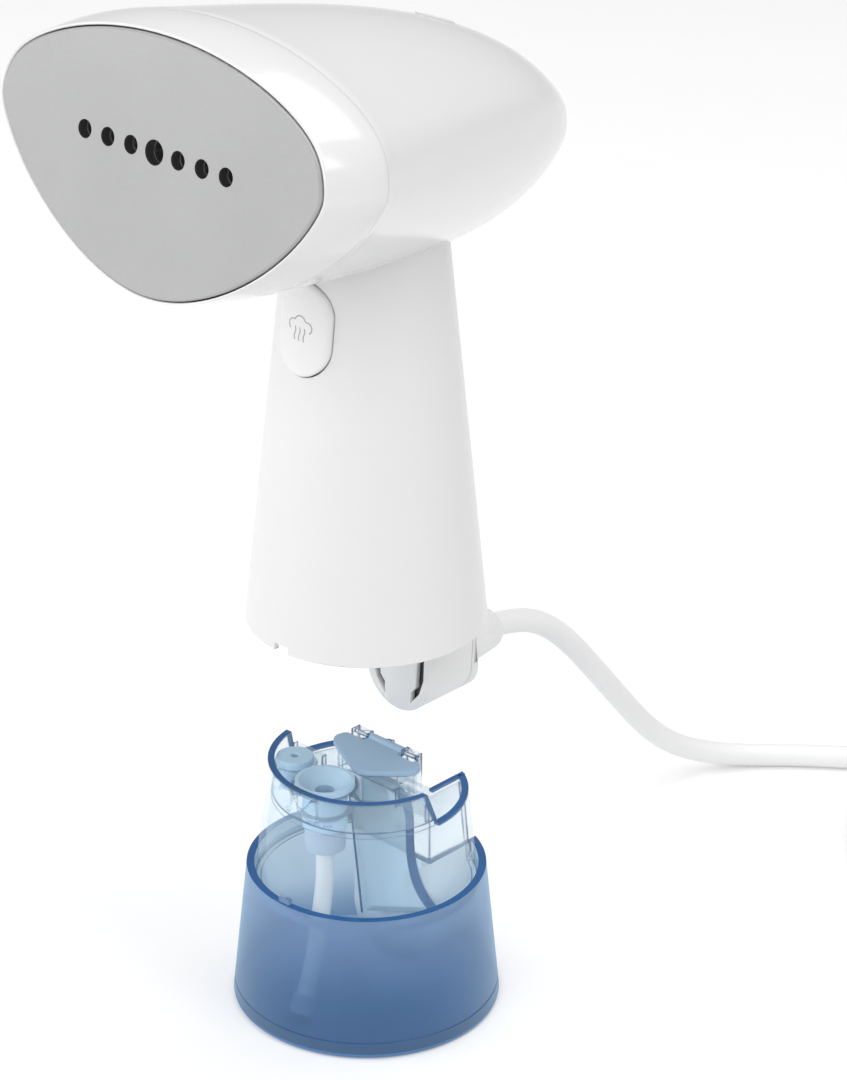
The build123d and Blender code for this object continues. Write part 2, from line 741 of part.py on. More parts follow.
def channel(grow, top, y_back=60.0):
    """The rear channel's U-shaped space, grown by its wall where asked."""
    radius = CHANNEL_RADIUS + grow
    return u_block(radius, radius, CHANNEL_CENTRE, top, CHANNEL_FRONT - grow, y_back)


def cup_inner(height):
    return cup_radius(height) - CUP_WALL


def shell_inner(height):
    return shell_radius(height) - SHELL_WALL


def mouth_shape(grow, low, high):
    """Upright solid of the fill mouth's rounded triangle, grown from the flap's outline."""
    with BuildPart() as solid:
        with BuildSketch(Plane.XY.offset(up(low))):
            for x, y, radius in FLAP_CORNERS:
                with Locations((x, y)):
                    Circle(radius + grow)
            make_hull()
        extrude(amount=high - low)
    return solid.part


with BuildPart() as cup_channel:
    add(channel(CHANNEL_WALL, CUP_RIM))
    add(cone(cup_radius, 0, CUP_RIM, -0.3), mode=Mode.INTERSECT)

with BuildPart() as foot_groove:
    add(cone(cup_radius, FOOT, FOOT + 0.5, 1))
    add(cone(cup_radius, FOOT - 1, FOOT + 1.5, -0.35), mode=Mode.SUBTRACT)

with BuildPart() as tank_cup:
    add(cone(cup_radius, 0, CUP_RIM))
    fillet(tank_cup.edges().filter_by(GeomType.CIRCLE).sort_by(Axis.Z)[0], 1.5)
    add(cone(cup_inner, CUP_FLOOR, CUP_RIM + 1), mode=Mode.SUBTRACT)
    add(foot_groove.part, mode=Mode.SUBTRACT)
    add(cup_channel.part)
    add(channel(0, CUP_RIM + 1), mode=Mode.SUBTRACT)
    add(block(-1.8, 1.8, -33.0, -31.6, CUP_RIM - 1, CUP_RIM + 1.5))
keep(tank_cup.part, "tank_cup")

with BuildPart() as top_channel:
    add(channel(CHANNEL_WALL, LEDGE))
    add(cone(shell_radius, CUP_RIM + 0.1, LEDGE, -0.3), mode=Mode.INTERSECT)

DECK_UNDERSIDE = LEDGE - DECK
with BuildPart() as tank_top:
    # wall, high at the front and low behind the step
    add(cone(shell_radius, CUP_RIM - 5, SHELL_TOP))
    add(cone(shell_inner, CUP_RIM - 6, DECK_UNDERSIDE), mode=Mode.SUBTRACT)
    add(cone(shell_inner, LEDGE, SHELL_TOP + 1), mode=Mode.SUBTRACT)
    add(channel(CHANNEL_WALL + 0.1, CUP_RIM), mode=Mode.SUBTRACT)
    with BuildSketch(Plane.YZ):
        with BuildLine():
            Polyline(
                (-4.5, up(SHELL_TOP + 1)),
                (-1.0, up(LEDGE)),
                (45, up(LEDGE)),
                (45, up(SHELL_TOP + 1)),
                close=True,
            )
        make_face()
    extrude(amount=50, both=True, mode=Mode.SUBTRACT)
    # step walls, mouth, towers and the lugs of the hinge
    for low, high in ((-25.4, -14), (14, 25.4)):
        add(block(low, high, -3.2, -1.6, DECK_UNDERSIDE, SHELL_TOP - 4))
    add(mouth_shape(-0.9, DECK_UNDERSIDE, 73.6))
    add(post(0, SPOUT_Y, DECK_UNDERSIDE, 72.8, 9.6))
    add(post(*VENT, DECK_UNDERSIDE, 72.0, 6.3))
    for low, high in ((-12.6, -7.0), (6.0, 11.6)):
        add(block(low, high, 7.0, 10.3, DECK_UNDERSIDE, FLAP_HINGE_HEIGHT + 1.4))
    add(top_channel.part)
    # openings through all of it
    add(channel(0, SHELL_TOP + 5), mode=Mode.SUBTRACT)
    add(mouth_shape(-2.2, 60, 80), mode=Mode.SUBTRACT)
    add(mouth_shape(0.4, 73.6, 80), mode=Mode.SUBTRACT)
    add(post(0, SPOUT_Y, 66, 80, 8.0), mode=Mode.SUBTRACT)
    add(post(0, SPOUT_Y, 60, 70, 6.3), mode=Mode.SUBTRACT)
    add(post(*VENT, 60, 80, 4.4), mode=Mode.SUBTRACT)
    with BuildSketch(Plane.YZ):
        with Locations((FLAP_HINGE_Y, up(FLAP_HINGE_HEIGHT))):
            Circle(0.65)
    extrude(amount=20, both=True, mode=Mode.SUBTRACT)
keep(tank_top.part, "tank_top")

with BuildPart() as tank_joint_seal:
    add(cone(cup_inner, CUP_RIM - 5, CUP_RIM - 3, -0.05))
    add(cone(shell_radius, CUP_RIM - 6, CUP_RIM - 2, 0.05), mode=Mode.SUBTRACT)
    add(channel(CHANNEL_WALL + 0.05, CUP_RIM + 1), mode=Mode.SUBTRACT)
keep(tank_joint_seal.part, "tank_joint_seal")

# Grey outlet seal: a funnel over a sleeve, with the valve cup and the suction tube below
with BuildPart() as outlet_seal:
    add(post(0, SPOUT_Y, 72.8, 74.4, FUNNEL_RADIUS))
    add(post(0, SPOUT_Y, 60.5, 72.8, 6.25))
    with BuildSketch(Plane.YZ):
        with BuildLine():
            Polyline(
                (SPOUT_Y, up(60)),
                (SPOUT_Y + 2.7, up(60)),
                (SPOUT_Y + 2.7, up(71.2)),
                (SPOUT_Y + 4.2, up(72.0)),
                (SPOUT_Y + 7.3, up(74.4)),
                (SPOUT_Y + 7.3, up(76)),
                (SPOUT_Y, up(76)),
                close=True,
            )
        make_face()
    revolve(axis=Axis((0, SPOUT_Y, 0), (0, 0, 1)), mode=Mode.SUBTRACT)
keep(outlet_seal.part, "outlet_seal")

with BuildPart() as valve_cup:
    add(post(0, SPOUT_Y, 53.5, 60.5, 5.7))
    add(post(0, SPOUT_Y, 56, 61, 4.2), mode=Mode.SUBTRACT)
    add(post(0, SPOUT_Y, 53, 57, 2.6), mode=Mode.SUBTRACT)
keep(valve_cup.part, "valve_cup")

suction_points = [
    (0, SPOUT_Y, up(56)),
    (0, SPOUT_Y, up(42)),
    (1.0, -21.5, up(22)),
    (2.4, -28.0, up(7.0)),
]
keep(tube_along(suction_points, [50, 50], 2.6, 1.7), "suction_tube")

filter_end = Vector(suction_points[-1])
filter_way = (filter_end - Vector(suction_points[-2])).normalized()
with BuildPart() as tube_filter:
    with BuildSketch(Plane(origin=filter_end - filter_way * 4, z_dir=filter_way)):
        Circle(3.6)
        Circle(2.6, mode=Mode.SUBTRACT)
    extrude(amount=4)
    with BuildSketch(Plane(origin=filter_end, z_dir=filter_way)):
        Circle(3.6)
    extrude(amount=1.4)
keep(tube_filter.part, "tube_filter")

with BuildPart() as vent_grommet:
    add(post(*VENT, 72.0, 74.2, 5.3))
    add(post(*VENT, 65, 72.0, 4.35))
    add(post(*VENT, 64, 75, 1.0), mode=Mode.SUBTRACT)
    fillet(vent_grommet.edges().filter_by(GeomType.CIRCLE).sort_by(Axis.Z)[-2:], 0.5)
keep(vent_grommet.part, "vent_grommet")

# A baffle below the fill mouth: a deep panel with a curved right side and a thin rib down its left
BAFFLE_FRONT = 6.0
BAFFLE_LEFT = ((-6.6, 20), (-12.5, DECK_UNDERSIDE))
with BuildPart() as tank_baffle:
    with BuildSketch(Plane.XZ.offset(-BAFFLE_FRONT)):
        with BuildLine():
            Spline((2.0, up(DECK_UNDERSIDE)), (8.0, up(60.5)), (9.5, up(50)), (11.5, up(38)), (19.0, up(30)))
            Polyline((19.0, up(30)), *[(x, up(height)) for x, height in BAFFLE_LEFT], (2.0, up(DECK_UNDERSIDE)))
        make_face()
    extrude(amount=-3.4)
    with BuildSketch(Plane.XZ.offset(-BAFFLE_FRONT)):
        with BuildLine():
            Polyline(
                *[(x, up(height)) for x, height in BAFFLE_LEFT],
                *[(x + 0.9, up(height)) for x, height in reversed(BAFFLE_LEFT)],
                close=True,
            )
        make_face()
    extrude(amount=1.4)
keep(tank_baffle.part, "tank_baffle")

with BuildPart() as flap_pin:
    with BuildSketch(Plane.YZ):
        with Locations((FLAP_HINGE_Y, up(FLAP_HINGE_HEIGHT))):
            Circle(0.6)
    extrude(amount=11.6, both=True)
keep(flap_pin.part, "flap_pin")

with BuildPart() as fill_flap:
    add(mouth_shape(0, 74.0, 75.4))
    add(mouth_shape(-3.1, 72.0, 74.0))
    with BuildSketch(Plane.YZ.offset(-6.6)):
        with Locations((FLAP_HINGE_Y, up(FLAP_HINGE_HEIGHT))):
            Circle(1.35)
    extrude(amount=12.2)
    add(block(-6.6, 5.6, 6.0, 8.4, 74.0, 75.4))
    for low, high in ((-12.9, -6.7), (5.7, 11.9)):
        add(block(low, high, 6.1, 11, 73, 77), mode=Mode.SUBTRACT)
    with BuildSketch(Plane.YZ):
        with Locations((FLAP_HINGE_Y, up(FLAP_HINGE_HEIGHT))):
            Circle(0.65)
    extrude(amount=20, both=True, mode=Mode.SUBTRACT)
keep(fill_flap.part, "fill_flap")
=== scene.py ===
import math

import bmesh
import bpy
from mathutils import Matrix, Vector


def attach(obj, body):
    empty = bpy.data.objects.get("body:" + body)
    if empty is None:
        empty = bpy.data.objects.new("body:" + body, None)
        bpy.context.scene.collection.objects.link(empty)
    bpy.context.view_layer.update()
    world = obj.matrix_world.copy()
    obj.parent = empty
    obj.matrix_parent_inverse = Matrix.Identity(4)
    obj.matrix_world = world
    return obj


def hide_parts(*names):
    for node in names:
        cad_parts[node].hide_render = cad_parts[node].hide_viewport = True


# Hand-held garment steamer lifted off its water tank, with its cord and plug.
# Shapes are worked out in millimetres, with heights above the surface that the tank stands on;
# place() turns a point into the frame's metres.

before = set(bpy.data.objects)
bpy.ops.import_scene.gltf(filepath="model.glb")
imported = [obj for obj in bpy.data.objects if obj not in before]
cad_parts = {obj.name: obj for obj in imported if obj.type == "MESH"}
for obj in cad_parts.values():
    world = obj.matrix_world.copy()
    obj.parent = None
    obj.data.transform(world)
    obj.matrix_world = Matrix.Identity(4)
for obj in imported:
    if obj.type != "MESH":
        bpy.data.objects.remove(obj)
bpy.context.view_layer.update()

MM = 0.001
GRIP_HEIGHT = 190.0


def place(x, y, height):
    return Vector((x * MM, y * MM, (height - GRIP_HEIGHT) * MM))


def new_object(name, data):
    thing = bpy.data.objects.new(name, data)
    bpy.context.collection.objects.link(thing)
    return thing


def turn(count):
    """Angles of evenly spaced points round a full turn."""
    return [2 * math.pi * step / count for step in range(count)]


# ---------------------------------------------------------------- camera

LENS = 129.03
SENSOR_WIDTH = 36.0
SHIFT_X = 0.0528
CLIP_END = 20.0
CAMERA_PLACE = (652.1, -678.8, 595.5)
AZIMUTH = math.radians(43.85)
ELEVATION = math.radians(25.74)


def add_camera():
    data = bpy.data.cameras.new("camera")
    data.lens = LENS
    data.sensor_width = SENSOR_WIDTH
    data.shift_x = SHIFT_X
    data.clip_end = CLIP_END
    camera = new_object("camera", data)
    camera.location = place(*CAMERA_PLACE)
    camera.rotation_euler = (math.pi / 2 - ELEVATION, 0.0, AZIMUTH)
    bpy.context.scene.camera = camera


add_camera()

# ---------------------------------------------------------------- materials

# Noise behind a moulded surface's mottle, and the share by which its gloss varies
CLOUD_SCALE = 38.0
CLOUD_DETAIL = 4.0
CLOUD_RANGE = (0.3, 0.7)
GLOSS_SPREAD = 0.12
# Noise behind its grain, and how deep the grain is in metres
PORE_DETAIL = 3.0
PORE_DEPTH = 0.0004
# How soon a clear plastic turns solid as it is seen edge-on
GRAZING = 0.35
# Cosines of the turn from a face to its rounded edge, where the painted edge shade starts and where it
# is full
EDGE_TURN = (0.98, 0.93)
EDGE_SAMPLES = 6
# Sockets of a Mix node that blends two colours
MIX_A, MIX_B, MIX_RESULT = 6, 7, 2


def node_of(tree, kind, **values):
    node = tree.nodes.new(kind)
    for name, value in values.items():
        setattr(node, name, value)
    return node


def moulded(name, color, roughness, grain=(900.0, 0.02), mottle=0.02, **sockets):
    """Plastic, rubber or metal: a faint mottle in its colour and gloss, and a fine bumped grain."""
    material = bpy.data.materials.new(name)
    material.use_nodes = True
    tree = material.node_tree
    shader = tree.nodes["Principled BSDF"]
    for socket, value in sockets.items():
        shader.inputs[socket.replace("_", " ")].default_value = value
    place_at = node_of(tree, "ShaderNodeTexCoord")
    cloud = node_of(tree, "ShaderNodeTexNoise")
    cloud.inputs["Scale"].default_value = CLOUD_SCALE
    cloud.inputs["Detail"].default_value = CLOUD_DETAIL
    tree.links.new(place_at.outputs["Object"], cloud.inputs["Vector"])
    tint = node_of(tree, "ShaderNodeValToRGB")
    dark, light = tint.color_ramp.elements
    dark.position, light.position = CLOUD_RANGE
    dark.color = (*[channel * (1 - mottle) for channel in color], 1.0)
    light.color = (*[min(1.0, channel * (1 + mottle)) for channel in color], 1.0)
    tree.links.new(cloud.outputs["Fac"], tint.inputs["Fac"])
    tree.links.new(tint.outputs["Color"], shader.inputs["Base Color"])
    gloss = node_of(tree, "ShaderNodeMapRange")
    gloss.inputs["To Min"].default_value = roughness * (1 - GLOSS_SPREAD)
    gloss.inputs["To Max"].default_value = min(1.0, roughness * (1 + GLOSS_SPREAD))
    tree.links.new(cloud.outputs["Fac"], gloss.inputs["Value"])
    tree.links.new(gloss.outputs["Result"], shader.inputs["Roughness"])
    fineness, height = grain
    if height:
        pores = node_of(tree, "ShaderNodeTexNoise")
        pores.inputs["Scale"].default_value = fineness
        pores.inputs["Detail"].default_value = PORE_DETAIL
        tree.links.new(place_at.outputs["Object"], pores.inputs["Vector"])
        bump = node_of(tree, "ShaderNodeBump")
        bump.inputs["Strength"].default_value = height
        bump.inputs["Distance"].default_value = PORE_DEPTH
        tree.links.new(pores.outputs["Fac"], bump.inputs["Height"])
        tree.links.new(bump.outputs["Normal"], shader.inputs["Normal"])
    return material


def tinted(
    name, color, roughness, solid, tint, grain=(700.0, 0.0), mottle=0.01,
    from_behind=1.0, lamps=0.98, **sockets
):
    """Clear tinted plastic: solid gives how much of it shows straight on and edge-on, tint what passes.

    A face seen from its back keeps a share of that, from_behind. Lamps light what is behind it by the
    share lamps, because the real plastic scatters their light inwards.
    """
    material = moulded(name, color, roughness, grain, mottle, **sockets)
    tree = material.node_tree
    facing = node_of(tree, "ShaderNodeLayerWeight")
    facing.inputs["Blend"].default_value = GRAZING
    share = node_of(tree, "ShaderNodeMapRange")
    share.inputs["To Min"].default_value, share.inputs["To Max"].default_value = solid
    tree.links.new(facing.outputs["Facing"], share.inputs["Value"])
    clear = node_of(tree, "ShaderNodeBsdfTransparent")
    clear.inputs["Color"].default_value = (*tint, 1.0)
    blend = node_of(tree, "ShaderNodeMixShader")
    surface = node_of(tree, "ShaderNodeNewGeometry")
    side = node_of(tree, "ShaderNodeMapRange")
    side.inputs["To Min"].default_value = 1.0
    side.inputs["To Max"].default_value = from_behind
    tree.links.new(surface.outputs["Backfacing"], side.inputs["Value"])
    kept = node_of(tree, "ShaderNodeMath", operation="MULTIPLY")
    tree.links.new(share.outputs["Result"], kept.inputs[0])
    tree.links.new(side.outputs["Result"], kept.inputs[1])
    tree.links.new(kept.outputs["Value"], blend.inputs["Fac"])
    tree.links.new(clear.outputs["BSDF"], blend.inputs[1])
    tree.links.new(tree.nodes["Principled BSDF"].outputs["BSDF"], blend.inputs[2])
    lamp = node_of(tree, "ShaderNodeLightPath")
    passing = node_of(tree, "ShaderNodeBsdfTransparent")
    passing.inputs["Color"].default_value = (lamps, lamps, lamps, 1.0)
    lit = node_of(tree, "ShaderNodeMixShader")
    tree.links.new(lamp.outputs["Is Shadow Ray"], lit.inputs["Fac"])
    tree.links.new(blend.outputs["Shader"], lit.inputs[1])
    tree.links.new(passing.outputs["BSDF"], lit.inputs[2])
    tree.links.new(lit.outputs["Shader"], tree.nodes["Material Output"].inputs["Surface"])
    return material


def paint_edge_shade(material, width, color):
    """Paints shade in a deep blue along a clear plastic's edges, for the darkness that light gives
    there after a long way through it.
    """
    tree = material.node_tree
    shader = tree.nodes["Principled BSDF"]
    rounded = node_of(tree, "ShaderNodeBevel", samples=EDGE_SAMPLES)
    rounded.inputs["Radius"].default_value = width * MM
    surface = node_of(tree, "ShaderNodeNewGeometry")
    turned = node_of(tree, "ShaderNodeVectorMath", operation="DOT_PRODUCT")
    tree.links.new(rounded.outputs["Normal"], turned.inputs[0])
    tree.links.new(surface.outputs["Normal"], turned.inputs[1])
    edge = node_of(tree, "ShaderNodeMapRange")
    edge.inputs["From Min"].default_value, edge.inputs["From Max"].default_value = EDGE_TURN
    tree.links.new(turned.outputs["Value"], edge.inputs["Value"])
    # Painted edge shade: the edge mask mixes the deep blue into the base colour and makes the edges
    # more solid
    tone = node_of(tree, "ShaderNodeMix", data_type="RGBA")
    tree.links.new(edge.outputs["Result"], tone.inputs["Factor"])
    tree.links.new(shader.inputs["Base Color"].links[0].from_socket, tone.inputs[MIX_A])
    tone.inputs[MIX_B].default_value = (*color, 1.0)
    tree.links.new(tone.outputs[MIX_RESULT], shader.inputs["Base Color"])
    blend = tree.nodes["Mix Shader"]
    solid_at_edges = node_of(tree, "ShaderNodeMath", operation="MAXIMUM")
    tree.links.new(blend.inputs["Fac"].links[0].from_socket, solid_at_edges.inputs[0])
    tree.links.new(edge.outputs["Result"], solid_at_edges.inputs[1])
    tree.links.new(solid_at_edges.outputs["Value"], blend.inputs["Fac"])
    return material


def paint_shade_below(material, low, high, shaded_color):
    """Paints shade: turns a material's colour to a deeper, darker one from the height high down to the
    height low.
    """
    tree = material.node_tree
    shader = tree.nodes["Principled BSDF"]
    upper = shader.inputs["Base Color"].links[0].from_socket
    place_at = node_of(tree, "ShaderNodeTexCoord")
    split = node_of(tree, "ShaderNodeSeparateXYZ")
    tree.links.new(place_at.outputs["Object"], split.inputs["Vector"])
    share = node_of(tree, "ShaderNodeMapRange", interpolation_type="SMOOTHSTEP")
    share.inputs["From Min"].default_value = (low - GRIP_HEIGHT) * MM
    share.inputs["From Max"].default_value = (high - GRIP_HEIGHT) * MM
    tree.links.new(split.outputs["Z"], share.inputs["Value"])
    # Painted shade: the darker colour is mixed in towards the bottom
    blend = node_of(tree, "ShaderNodeMix", data_type="RGBA")
    tree.links.new(share.outputs["Result"], blend.inputs["Factor"])
    blend.inputs[MIX_A].default_value = (*shaded_color, 1.0)
    tree.links.new(upper, blend.inputs[MIX_B])
    tree.links.new(blend.outputs[MIX_RESULT], shader.inputs["Base Color"])
    return material


WHITE = (0.665, 0.665, 0.666)
looks = {
    "white_gloss": moulded(
        "white_gloss", WHITE, 0.17, (420.0, 0.012), 0.006, Coat_Weight=0.35, Coat_Roughness=0.06
    ),
    "white_handle": moulded("white_handle", WHITE, 0.24, (420.0, 0.02), 0.006),
    "white_button": moulded("white_button", (0.71, 0.71, 0.71), 0.32, (900.0, 0.04), 0.01),
    "white_tongue": moulded("white_tongue", (0.70, 0.70, 0.70), 0.3, (900.0, 0.05), 0.01),
    "icon_grey": moulded("icon_grey", (0.32, 0.33, 0.35), 0.5),
    "plate_satin": moulded(
        "plate_satin", (0.37, 0.371, 0.373), 0.33, (1400.0, 0.10), 0.02, Metallic=0.15
    ),
    "black_rubber": moulded("black_rubber", (0.012, 0.012, 0.013), 0.7, (1200.0, 0.3), 0.1),
    "orange_silicone": moulded("orange_silicone", (0.45, 0.09, 0.03), 0.6, (1200.0, 0.2), 0.05),
    "cast_aluminium": moulded(
        "cast_aluminium", (0.48, 0.49, 0.5), 0.42, (600.0, 0.5), 0.08, Metallic=1.0
    ),
    "steel": moulded("steel", (0.55, 0.56, 0.57), 0.28, (2200.0, 0.1), 0.04, Metallic=1.0),
    "hot_steel": moulded("hot_steel", (0.32, 0.29, 0.26), 0.35, (1500.0, 0.15), 0.18, Metallic=1.0),
    "ceramic": moulded("ceramic", (0.8, 0.78, 0.72), 0.25),
    "black_plastic": moulded("black_plastic", (0.025, 0.026, 0.028), 0.45, (900.0, 0.15), 0.06),
    "inner_white": moulded("inner_white", (0.72, 0.73, 0.75), 0.5, (900.0, 0.1), 0.02),
    "lens": moulded("lens", (0.74, 0.74, 0.75), 0.12, (400.0, 0.0), 0.01, Transmission_Weight=0.1),
    # Painted shade: near black for the steam holes' walls, which lie in shadow
    "hole_shade_grey": moulded("hole_shade_grey", (0.045, 0.045, 0.047), 0.5, (900.0, 0.1), 0.05),
    "board_green": moulded("board_green", (0.015, 0.11, 0.045), 0.35, (1800.0, 0.3), 0.2),
    "relay_blue": moulded("relay_blue", (0.015, 0.07, 0.33), 0.4),
    "pump_grey": moulded("pump_grey", (0.26, 0.28, 0.31), 0.45, (900.0, 0.15), 0.04),
    "copper": moulded("copper", (0.55, 0.2, 0.08), 0.32, (2600.0, 0.6), 0.15, Metallic=1.0),
    "clear_hose": moulded(
        "clear_hose", (0.78, 0.84, 0.9), 0.28, (900.0, 0.05), 0.02, Transmission_Weight=0.55
    ),
    "brown_wire": moulded("brown_wire", (0.15, 0.05, 0.02), 0.45, (900.0, 0.1), 0.05),
    "slot_grey": moulded("slot_grey", (0.17, 0.17, 0.17), 0.5, (900.0, 0.1), 0.05),
    # Painted light: a lighter white than the body's, so that the strain relief shows bright in the
    # shade where it sits
    "relief_white": moulded(
        "relief_white", (0.86, 0.86, 0.86), 0.36, (700.0, 0.08), 0.01, Transmission_Weight=0.2
    ),
    "cord_white": moulded("cord_white", (0.76, 0.76, 0.76), 0.5, (1100.0, 0.1), 0.012),
    "plug_white": moulded("plug_white", (0.78, 0.785, 0.795), 0.42, (900.0, 0.12), 0.015),
    "nickel": moulded("nickel", (0.62, 0.61, 0.58), 0.2, (2200.0, 0.06), 0.04, Metallic=1.0),
    "slate_silicone": moulded("slate_silicone", (0.40, 0.57, 0.72), 0.5, (1200.0, 0.15), 0.04),
    "slate_flap": moulded("slate_flap", (0.28, 0.41, 0.55), 0.45, (1500.0, 0.12), 0.04),
    "pale_valve": moulded(
        "pale_valve", (0.5, 0.62, 0.78), 0.35, (900.0, 0.05), 0.02, Transmission_Weight=0.3
    ),
    "filter_mesh": moulded("filter_mesh", (0.55, 0.64, 0.74), 0.6, (3000.0, 0.6), 0.15),
    # Clear shell with painted shade along its edges
    "shell_blue": paint_edge_shade(
        tinted(
            "shell_blue", (0.70, 0.88, 1.0), 0.05, (0.04, 0.26), (0.974, 0.99, 1.0), Coat_Weight=0.3
        ),
        1.3, (0.015, 0.07, 0.19),
    ),
    "baffle_blue": tinted("baffle_blue", (0.67, 0.87, 1.0), 0.2, (0.3, 0.5), (0.94, 0.97, 1.0)),
    # Painted light and shade: the cup's inner faces take a paler, more solid blue for the light coming
    # through its wall, with painted shade towards the bottom
    "cup_inside_lit": paint_shade_below(
        tinted(
            "cup_inside_lit", (0.88, 0.96, 1.0), 0.4, (0.9, 0.95), (0.85, 0.93, 1.0), from_behind=0.12
        ),
        3.0, 22.0, (0.24, 0.40, 0.60),
    ),
    # Painted shade: the cup's outside turns darker from the height 48 down to 14
    "cup_blue": paint_shade_below(
        tinted(
            "cup_blue", (0.15, 0.235, 0.38), 0.4, (0.7, 0.7), (0.5, 0.68, 0.92), (500.0, 0.04),
            0.02, lamps=0.85,
            Sheen_Weight=0.85, Sheen_Roughness=0.5, Sheen_Tint=(0.6, 0.82, 1.0, 1.0),
        ),
        14.0, 48.0, (0.022, 0.08, 0.19),
    ),
    "foot_blue": moulded(
        "foot_blue", (0.05, 0.16, 0.36), 0.3, (500.0, 0.04), 0.02, Coat_Weight=0.3
    ),
    "tube_white": moulded(
        "tube_white", (0.88, 0.92, 0.96), 0.35, (900.0, 0.05), 0.02, Transmission_Weight=0.15
    ),
    # Painted edge shade: the deep blue that the clear plastics' rims and edges take for the darkness
    # their thickness gives them
    "edge_shade_blue": moulded(
        "edge_shade_blue", (0.016, 0.095, 0.27), 0.25, (500.0, 0.03), 0.06, Specular_IOR_Level=0.3
    ),
}

# Looks of the CAD's own pieces that show as they are
NODE_LOOKS = {
    "plate_seal": "black_rubber", "boiler_body": "cast_aluminium", "boiler_gasket": "orange_silicone",
    "boiler_cover": "cast_aluminium", "boiler_screws": "steel", "heating_element": "hot_steel",
    "thermostat": "steel", "thermal_fuse": "ceramic", "boiler_carrier": "black_plastic",
    "indicator_lens": "lens", "indicator_lamp": "inner_white", "handle_chassis": "inner_white",
    "micro_switch": "black_plastic", "trigger_spring": "steel", "circuit_board": "board_green",
    "board_relay": "relay_blue", "board_capacitor": "black_plastic", "pump_body": "pump_grey",
    "pump_coil": "copper", "pump_mounts": "black_rubber", "inlet_hose": "clear_hose",
    "outlet_hose": "clear_hose", "dock_plate": "inner_white", "dock_screws": "steel",
    "terminal_block": "inner_white", "cable_guard": "slot_grey", "cord_clamp": "inner_white",
    "lead_wires": "brown_wire", "plug_pins": "nickel",
    "tank_joint_seal": "slate_silicone", "outlet_seal": "slate_silicone", "valve_cup": "pale_valve",
    "suction_tube": "tube_white", "tube_filter": "filter_mesh", "vent_grommet": "slate_silicone",
    "flap_pin": "steel",
}


def dress(piece, look):
    """Gives every material slot of a piece one look."""
    if not piece.data.materials:
        piece.data.materials.append(looks[look])
    for slot in piece.material_slots:
        slot.material = looks[look]


for node, look in NODE_LOOKS.items():
    dress(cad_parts[node], look)

# ---------------------------------------------------------------- meshes

# Angles between faces, in degrees, from which an edge stays sharp on a new piece and on a CAD copy
SHARP_NEW = 50
SHARP_COPY = 35
SEAM = 1e-6
# How closely a face has to follow a cone to take its normals, and how near the axis a point has none
CONE_MATCH = 0.94
NEAR_AXIS = 0.005


def shade(mesh, sharp):
    mesh.polygons.foreach_set("use_smooth", [True] * len(mesh.polygons))
    mesh.set_sharp_from_angle(angle=math.radians(sharp))


def new_piece(name, vertices, faces, look, body):
    mesh = bpy.data.meshes.new(name)
    mesh.from_pydata([tuple(vertex) for vertex in vertices], [], faces)
    mesh.validate()
    work = bmesh.new()
    work.from_mesh(mesh)
    bmesh.ops.recalc_face_normals(work, faces=work.faces)
    work.to_mesh(mesh)
    work.free()
    shade(mesh, SHARP_NEW)
    piece = new_object(name, mesh)
    dress(piece, look)
    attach(piece, body)
    return piece


def skin(rings, start_point=None, end_point=None):
    """Vertices and faces of a surface through closed rings, with a point at an end that closes."""
    count = len(rings[0])
    vertices = [point for ring in rings for point in ring]
    faces = []
    for ring in range(len(rings) - 1):
        low, high = ring * count, (ring + 1) * count
        for step in range(count):
            after = (step + 1) % count
            faces.append((low + step, low + after, high + after, high + step))
    for tip, ring in ((start_point, 0), (end_point, len(rings) - 1)):
        if tip is not None:
            vertices.append(tip)
            for step in range(count):
                after = (step + 1) % count
                faces.append((ring * count + step, ring * count + after, len(vertices) - 1))
    return vertices, faces


def smooth_copy(node, name, look):
    """A copy of a CAD node's mesh with its seams merged, so that its round faces shade smoothly."""
    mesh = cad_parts[node].data.copy()
    work = bmesh.new()
    work.from_mesh(mesh)
    bmesh.ops.remove_doubles(work, verts=work.verts, dist=SEAM)
    bmesh.ops.recalc_face_normals(work, faces=work.faces)
    work.to_mesh(mesh)
    work.free()
    shade(mesh, SHARP_COPY)
    piece = new_object(name, mesh)
    dress(piece, look)
    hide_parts(node)
    return piece


def cone_normals(piece, slope):
    """Exact normals on the faces that lie on a cone about the handle's axis."""
    mesh = piece.data
    normals = []
    lean = 1 / math.hypot(1, slope)
    for polygon in mesh.polygons:
        for loop in polygon.loop_indices:
            point = mesh.vertices[mesh.loops[loop].vertex_index].co
            reach = math.hypot(point.x, point.y)
            normal = polygon.normal.copy()
            if reach > NEAR_AXIS:
                outward = Vector((point.x / reach * lean, point.y / reach * lean, slope * lean))
                if abs(normal.dot(outward)) > CONE_MATCH:
                    normal = outward if normal.dot(outward) > 0 else -outward
                else:
                    normal = mesh.corner_normals[loop].vector.copy()
            normals.append(normal)
    mesh.normals_split_custom_set(normals)


def paint_faces(piece, look, chosen):
    """Gives the faces that pass a test, on their centre, height and normal, another look."""
    mesh = piece.data
    mesh.materials.append(looks[look])
    index = len(mesh.materials) - 1
    for polygon in mesh.polygons:
        height = polygon.center.z / MM + GRIP_HEIGHT
        if chosen(polygon.center / MM, height, polygon.normal):
            polygon.material_index = index


# ---------------------------------------------------------------- head

TILT = math.radians(9.1)
PLATE_OUT = Vector((0, -math.cos(TILT), math.sin(TILT)))
FACE_Y = -74.4
FACE_HEIGHT = 272.0
BAND = 18.5
HEAD_LENGTH = 141.0
RIM = 0.9
# The plate's outline: its mean reach, its lift, and its second, third and fifth lobes
OUTLINE = (44.2, -0.7, 11.9, 2.4, -0.8)
RING_POINTS = 192
DOME_RINGS = 96
